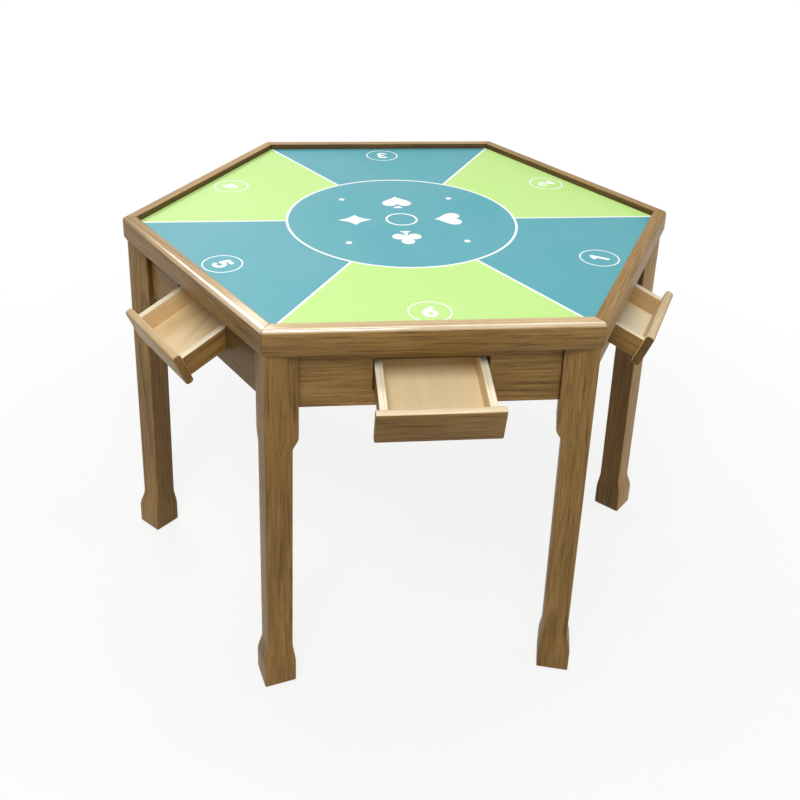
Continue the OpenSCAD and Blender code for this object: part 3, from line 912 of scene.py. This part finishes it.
class CARDTABLE_OT_drawers(Operator):
    """Makes the six drawers, each with a front, two sides, a back and a bottom"""
    bl_idname = "cardtable.drawers"
    bl_label = "Drawers"

    # How pale the parts of each seat's drawer are, from seat 1 to seat 6, where less than 0 is dark: the face,
    # ends, bottom and inner faces carry painted light and shade, and the top is partly the pale wood and partly a
    # painted highlight
    pale = {
        "top": (0.65, 0.35, 0.6, 0.25, 0.42, 1.0),
        "face": (-0.20, -0.20, -0.20, -0.20, 0.10, -0.20),
        "end": (-0.45, -0.1, -0.1, -0.1, -0.1, -0.1),
        "bottom": (1.0, 0.2, 0, 0.1, -0.12, 0.04),
        "inside": (-0.85, -0.5, -0.4, -0.35, -0.48, -0.4),
    }

    def execute(self, context):
        sizes = context.scene.card_drawers
        front_back = -APRON_LOW.y + sizes.front_gap
        box_back = front_back - sizes.box_length
        low = SILL + sizes.box_lift
        high = low + sizes.box_height
        floor = low + sizes.bottom
        half = sizes.box_width / 2
        inner = half - sizes.side
        reach = inner + sizes.bottom_let - sizes.bottom_gap
        ease = sizes.edge_ease
        for number in SEATS:
            pale = {part: shades[number - 1] for part, shades in self.pale.items()}
            sides = bmesh.new()
            for side in (-1, 1):
                edges = sorted((side * inner, side * half))
                block = eased_block((box_back, edges[0], low), (front_back, edges[1], high), ease)
                for face in block.faces:
                    face.material_index = int(face.normal.y * side > 0.9)
                take_in(sides, block)
            back = eased_block((box_back, -inner, floor), (box_back + sizes.back, inner, high), ease)
            bottom = eased_block((box_back, -reach, low), (front_back, reach, floor), ease / 4, 1)
            boards = (
                ("front_board", "front", self.front(sizes, front_back, low), along_y, "oak", ["oak"],
                 lambda point: (self.front_pallor(sizes, pale, front_back, high, point), 0)),
                ("side_boards", "sides", sides, along_x, "maple", ["pale", "oak"],
                 lambda point: self.side_traits(sizes, pale, half, high, point)),
                ("back_board", "back", back, along_y, "maple", ["pale"], None),
                ("bottom_board", "bottom", bottom, along_x, "maple", ["pale"], lambda point: (pale["bottom"], 0)),
            )
            body = f"drawer_{number}"
            for name, node, bm, along, slot, finishes, traits_at in boards:
                add_board(f"{body}_{name}", bm, self.hang(number), along, body, f"{body}_{node}", finishes,
                          traits_at)
        return {"FINISHED"}

    @staticmethod
    def hang(number):
        """From a closed level drawer in its seat's axes to where it hangs, as its joints say."""
        pivot = Vector(JOINTS[f"strip_{number}_rock"]["pos_m"])
        slide = JOINTS[f"drawer_{number}_slide"]
        over = Matrix.Translation((math.hypot(pivot.x, pivot.y), 0, pivot.z))
        tip = Matrix.Rotation(math.asin(-slide["axis"][2]), 4, "Y")
        out = Matrix.Translation((-slide["range_m"][0], 0, 0))
        return seat_turn(number) @ over @ tip @ out @ over.inverted()

    @staticmethod
    def front(sizes, front_back, low):
        """A front with bull-nosed long edges and eased ends."""
        low_corner = (front_back, low - sizes.lip_down)
        high_corner = (front_back + sizes.front, low + sizes.box_height + sizes.front_up)
        outline = [point for corner in rounded(low_corner, high_corner, sizes.front_round, 7) for point in corner]
        centre = [(a + b) / 2 for a, b in zip(low_corner, high_corner)]
        span = [(b - a) / 2 for a, b in zip(low_corner, high_corner)]
        half = sizes.box_width / 2 + sizes.front_lap
        rings = []
        for share in reversed(shares(3)):
            angle = math.pi / 2 * share
            inset = sizes.end_ease * (1 - math.sin(angle))
            y = half - sizes.end_ease * (1 - math.cos(angle))
            ring = drawn_in(outline, centre, [1 - inset / reach for reach in span])
            rings = [[(x, -y, z) for x, z in ring], *rings, [(x, y, z) for x, z in ring]]
        return skin(bmesh.new(), rings)

    @staticmethod
    def front_pallor(sizes, pale, front_back, high, point):
        """A front is pale on its back, brown on its face and ends, and more or less pale on its top; its face and
        ends carry painted light and shade, and its top partly a painted highlight.
        """
        past_back = point.x - front_back
        if abs(point.y) > sizes.box_width / 2 + sizes.front_lap - 0.3 * sizes.end_ease:
            return pale["end"]
        if past_back < 0.5 * sizes.front_round:
            return 1
        on_top = point.z > high + sizes.front_up - 0.35 * sizes.front_round
        return pale["top"] if on_top and past_back < 0.9 * sizes.front else pale["face"]

    @staticmethod
    def side_traits(sizes, pale, half, high, point):
        """How pale a side is, with painted light on its top and painted shade on its inner face, and how far
        across it a point is.
        """
        across = (half - abs(point.y)) / sizes.side
        if point.z > high - 0.3 * sizes.edge_ease:
            return 1, across
        return pale["inside"] if across > 0.95 else 0, across


class CARDTABLE_OT_mat(Operator):
    """Prints the mat, with its numbers and suits in white ink"""
    bl_idname = "cardtable.mat"
    bl_label = "Mat"

    def execute(self, context):
        sizes = context.scene.card_mat
        paint("playing_mat", "print")
        reach = sizes.digit_height - sizes.digit_weight
        for number, strokes in self.digits().items():
            shapes = [self.stroke(scaled(points, reach), sizes.digit_weight / 2) for points in strokes]
            place = Matrix.Translation((sizes.badge_place, 0, 0)) @ Matrix.Rotation(math.pi / 2, 4, "Z")
            self.add_ink(sizes, f"digit_{number}", shapes, seat_turn(number) @ place)
        for k, (name, outlines) in enumerate(self.suits().items()):
            place = Matrix.Rotation(-math.pi / 2 * k, 4, "Z") @ Matrix.Translation((0, sizes.suit_place, 0))
            shapes = [scaled(outline, sizes.suit_width) for outline in outlines]
            self.add_ink(sizes, f"suit_{name}", shapes, place)
            angle = math.pi / 4 + k * math.pi / 2
            centre = (sizes.dot_place * math.cos(angle), sizes.dot_place * math.sin(angle))
            self.add_ink(sizes, f"dot_{k + 1}", [circle(centre, sizes.dot_radius, 24)], Matrix())
        self.add_hub(sizes)
        return {"FINISHED"}

    @staticmethod
    def digits():
        """The strokes of the six numbers, one high, with their tops along +Y."""
        ring = list(arc((0, -0.20), 0.30, 90, 450, 28))
        return {
            1: [[(-0.20, 0.28), (0.06, 0.50)], [(0.06, 0.50), (0.06, -0.50)]],
            2: [[*arc((0, 0.23), 0.27, 170, -32, 14), (-0.27, -0.50)], [(-0.27, -0.50), (0.30, -0.50)]],
            3: [list(arc((-0.02, 0.25), 0.25, 150, -90, 14)), list(arc((-0.02, -0.24), 0.26, 90, -150, 14))],
            4: [[(0.10, 0.50), (-0.32, -0.20)], [(-0.32, -0.20), (0.34, -0.20)], [(0.14, 0.12), (0.14, -0.50)]],
            5: [[(0.25, 0.50), (-0.20, 0.50)], [(-0.20, 0.50), (-0.24, 0.04)],
                list(arc((0, -0.19), 0.31, 138, -145, 18))],
            6: [[(0.16, 0.50), *arc((0.12, -0.10), 0.42, 128, 180, 8)], ring[:15], ring[14:]],
        }

    @staticmethod
    def stroke(points, half):
        """Outline of a pen stroke with round ends."""
        headings = []
        for k in range(len(points)):
            (ax, ay), (bx, by) = points[max(k - 1, 0)], points[min(k + 1, len(points) - 1)]
            headings.append(math.atan2(by - ay, bx - ax))
        left = [(x - math.sin(a) * half, y + math.cos(a) * half) for (x, y), a in zip(points, headings)]
        right = [(x + math.sin(a) * half, y - math.cos(a) * half) for (x, y), a in zip(points, headings)]
        start, end = math.degrees(headings[0]), math.degrees(headings[-1])
        last = list(arc(points[-1], half, end + 90, end - 90, 8))[1:-1]
        first = list(arc(points[0], half, start - 90, start - 270, 8))[1:-1]
        return [*left, *last, *reversed(right), *first]

    @staticmethod
    def add_ink(sizes, name, shapes, place):
        """Flat shapes of ink on the mat, each a little thicker than the last, so that no faces coincide."""
        bm = bmesh.new()
        for k, shape in enumerate(shapes):
            thick = sizes.ink * (1 + 0.2 * k)
            skin(bm, [[(x, y, MAT_TOP + lift) for x, y in shape] for lift in (0, thick)])
        add_piece(name, bm, place, TABLE, ["ink"])

    @staticmethod
    def add_hub(sizes):
        """The small ring in the centre, whose line is heavier than a badge's."""
        outer = sizes.hub_radius
        inner = outer - sizes.badge_line * 1.6
        levels = ((outer, 0), (outer, sizes.ink), (inner, sizes.ink), (inner, 0))
        rings = [[(x, y, MAT_TOP + lift) for x, y in circle((0, 0), radius, 60)] for radius, lift in levels]
        add_piece("hub_ring", skin(bmesh.new(), rings, looped=True), Matrix(), TABLE, ["ink"])

    @staticmethod
    def suits():
        """Outlines of the four suits, about one wide, with their tops along +Y."""
        heart = []
        for share in shares(48)[:-1]:
            t = 2 * math.pi * share
            y = 13 * math.cos(t) - 5 * math.cos(2 * t) - 2 * math.cos(3 * t) - math.cos(4 * t)
            heart.append((16 * math.sin(t) ** 3 / 34, y / 34 + 0.06))
        tips = ((0.40, 0), (0, 0.52), (-0.40, 0), (0, -0.52))
        diamond = []
        for (ax, ay), (bx, by) in zip(tips, tips[1:] + tips[:1]):
            for share in shares(6)[:-1]:
                near = 1 - 0.22 * math.sin(math.pi * share)
                diamond.append(((ax + (bx - ax) * share) * near, (ay + (by - ay) * share) * near))
        foot = [(-0.05, -0.34), (-0.17, -0.50), (0.17, -0.50), (0.05, -0.34)]
        leaves = [circle(centre, 0.205, 24) for centre in ((0, 0.26), (-0.235, -0.085), (0.235, -0.085))]
        middle = circle((0, 0.02), 0.10, 12)
        return {
            "spade": [[(-x, 0.10 - y) for x, y in heart], [(0.02, -0.335), (-0.02, -0.335), *foot]],
            "heart": [heart],
            "club": [*leaves, middle, [(0.02, -0.02), (-0.02, -0.02), *foot]],
            "diamond": [diamond],
        }


class CARDTABLE_OT_hardware(Operator):
    """Finishes the bolts, brackets, screws, glides and rocking strips"""
    bl_idname = "cardtable.hardware"
    bl_label = "Hardware"

    def execute(self, context):
        for node in ("leg_bolts", "leg_washers", "leg_nuts", "top_brackets", "bracket_screws"):
            paint(node, "steel")
        paint("foot_glides", "nylon")
        for number in SEATS:
            paint(f"rocking_strip_{number}", "nylon")
        return {"FINISHED"}


class CARDTABLE_OT_stage(Operator):
    """Adds the floor, the lamps, the world and the camera"""
    bl_idname = "cardtable.stage"
    bl_label = "Stage"

    # Each lamp's sides, its place and what it faces
    lamps = {
        "ceiling": ((1.9, 0.9), (0.3, -0.1, 2.75), (0.3, -0.1, 0)),
        "tube": ((1.7, 0.34), (0.3, -0.1, 2.70), (0.3, -0.1, 0)),
        "window": ((2.0, 0.6), (-1.15, 2.1, 2.55), (0, 0, MAT_TOP)),
        "front": ((1.6, 1.2), (-0.5, -2.3, 3.05), (0, 0, MAT_TOP)),
        "right": ((1.4, 0.7), (2.5, -0.9, 0.38), (0, 0, 0.38)),
        "fill": ((1.4, 0.8), (0.3, -2.9, 1.6), (0, 0, 0.6)),
        "left": ((1.4, 0.7), (-2.6, 0.5, 0.38), (0, 0, 0.38)),
    }

    # How far the floor near the table is bleached for the camera, and the distances from the table's
    # centre between which it turns wholly white
    bleach = 0.82
    white_from = 0.75
    white_to = 1.7

    def execute(self, context):
        settings = context.scene.card_stage
        context.scene.view_settings.view_transform = "Standard"
        self.add_camera(context, settings)
        self.add_floor()
        self.add_world(context, settings)
        for name, (sides, place, target) in self.lamps.items():
            self.add_lamp(name, getattr(settings, name), sides, place, target)
        return {"FINISHED"}

    @staticmethod
    def add_camera(context, settings):
        lie = Matrix(((1, 0, 0), (0, 0, -1), (0, 1, 0)))
        view = Matrix.Rotation(settings.roll, 3, "Z") @ Matrix.Rotation(settings.pitch, 3, "X")
        right, down, forward = view @ lie @ Matrix.Rotation(-settings.yaw, 3, "Z")
        data = bpy.data.cameras.new("camera")
        data.sensor_width = 36
        data.lens = settings.focal * data.sensor_width
        data.shift_x = settings.shift_x
        data.shift_y = settings.shift_y
        data.clip_end = 60
        camera = add_object("camera", data)
        axes = Matrix((right, -down, -forward)).transposed()
        camera.matrix_world = Matrix.Translation(settings.camera_place) @ axes.to_4x4()
        context.scene.camera = camera

    def add_floor(self):
        """A wide pale floor, plain paint to the light and white with the table's shadow to the camera."""
        shader = Shader(bpy.data.materials.new("pale_floor"))
        x, y, _ = solid_axes(shader)
        plain = shader.node("ShaderNodeBsdfDiffuse", {"Color": (0.80, 0.80, 0.79, 1)})
        bright = shader.node("ShaderNodeBsdfDiffuse", {"Color": (0.95, 0.95, 0.95, 1)})
        white = shader.node("ShaderNodeEmission", {"Color": (1, 1, 1, 1), "Strength": 1})
        near = shader.node("ShaderNodeMixShader", {0: self.bleach, 1: bright, 2: white})
        far = shader.held((x * x + y * y) ** 0.5, self.white_from, self.white_to)
        shown = shader.node("ShaderNodeMixShader", {0: far, 1: near, 2: white})
        floor_look = shader.node("ShaderNodeMixShader", {0: shader.seen(), 1: plain, 2: shown})
        shader.node("ShaderNodeOutputMaterial", {"Surface": floor_look})
        bm = bmesh.new()
        bmesh.ops.create_grid(bm, x_segments=4, y_segments=4, size=20)
        mesh = mesh_of("floor", bm)
        mesh.materials.append(shader.owner)
        floor = add_object("floor", mesh)

    @staticmethod
    def add_world(context, settings):
        """White to the camera and in gloss, and dimmer as a light."""
        shader = Shader(bpy.data.worlds.new("studio"))
        strength = shader.seen() * (1 - settings.ambient) + settings.ambient
        sky = shader.node("ShaderNodeBackground", {"Color": (1, 1, 1, 1), "Strength": strength})
        shader.node("ShaderNodeOutputWorld", {"Surface": sky})
        context.scene.world = shader.owner

    @staticmethod
    def add_lamp(name, brightness, sides, place, target):
        """A flat lamp that faces its target. A brightness of one is that of white paper in plain light."""
        data = bpy.data.lights.new(name, "AREA")
        data.shape = "RECTANGLE"
        data.size, data.size_y = sides
        data.energy = brightness * math.pi * sides[0] * sides[1]
        aim = Vector(target) - Vector(place)
        turn = aim.to_track_quat("-Z", "Y").to_matrix().to_4x4()
        add_object(name, data).matrix_world = Matrix.Translation(place) @ turn


class CARDTABLE_PT_panel(Panel):
    """Lists the steps that make the table, and its sizes and colours"""
    bl_idname = "CARDTABLE_PT_panel"
    bl_label = "Card table"
    bl_space_type = "VIEW_3D"
    bl_region_type = "UI"
    bl_category = "Card table"

    def draw(self, context):
        for step in STEPS:
            self.layout.operator(step.bl_idname)
        for name, group in GROUPS.items():
            box = self.layout.box()
            box.label(text=group.__doc__)
            for value in group.__annotations__:
                box.prop(getattr(context.scene, name), value)


STEPS = (CARDTABLE_OT_rim, CARDTABLE_OT_legs, CARDTABLE_OT_frame, CARDTABLE_OT_drawers, CARDTABLE_OT_mat,
         CARDTABLE_OT_hardware, CARDTABLE_OT_stage)
GROUPS = {"card_rim": RimSizes, "card_legs": LegSizes, "card_aprons": ApronSizes, "card_drawers": DrawerSizes,
          "card_mat": MatSizes, "card_wood": WoodColours, "card_print": PrintColours, "card_stage": StageSettings}


def register():
    for name, group in GROUPS.items():
        bpy.utils.register_class(group)
        setattr(bpy.types.Scene, name, PointerProperty(type=group))
    for step in (*STEPS, CARDTABLE_PT_panel):
        bpy.utils.register_class(step)


def unregister():
    for step in reversed((*STEPS, CARDTABLE_PT_panel)):
        bpy.utils.unregister_class(step)
    for name, group in reversed(GROUPS.items()):
        delattr(bpy.types.Scene, name)
        bpy.utils.unregister_class(group)


def main():
    """Makes every piece."""
    register()
    bpy.ops.cardtable.rim()
    bpy.ops.cardtable.legs()
    bpy.ops.cardtable.frame()
    bpy.ops.cardtable.drawers()
    bpy.ops.cardtable.mat()
    bpy.ops.cardtable.hardware()
    bpy.ops.cardtable.stage()


if __name__ == "__main__":
    main()
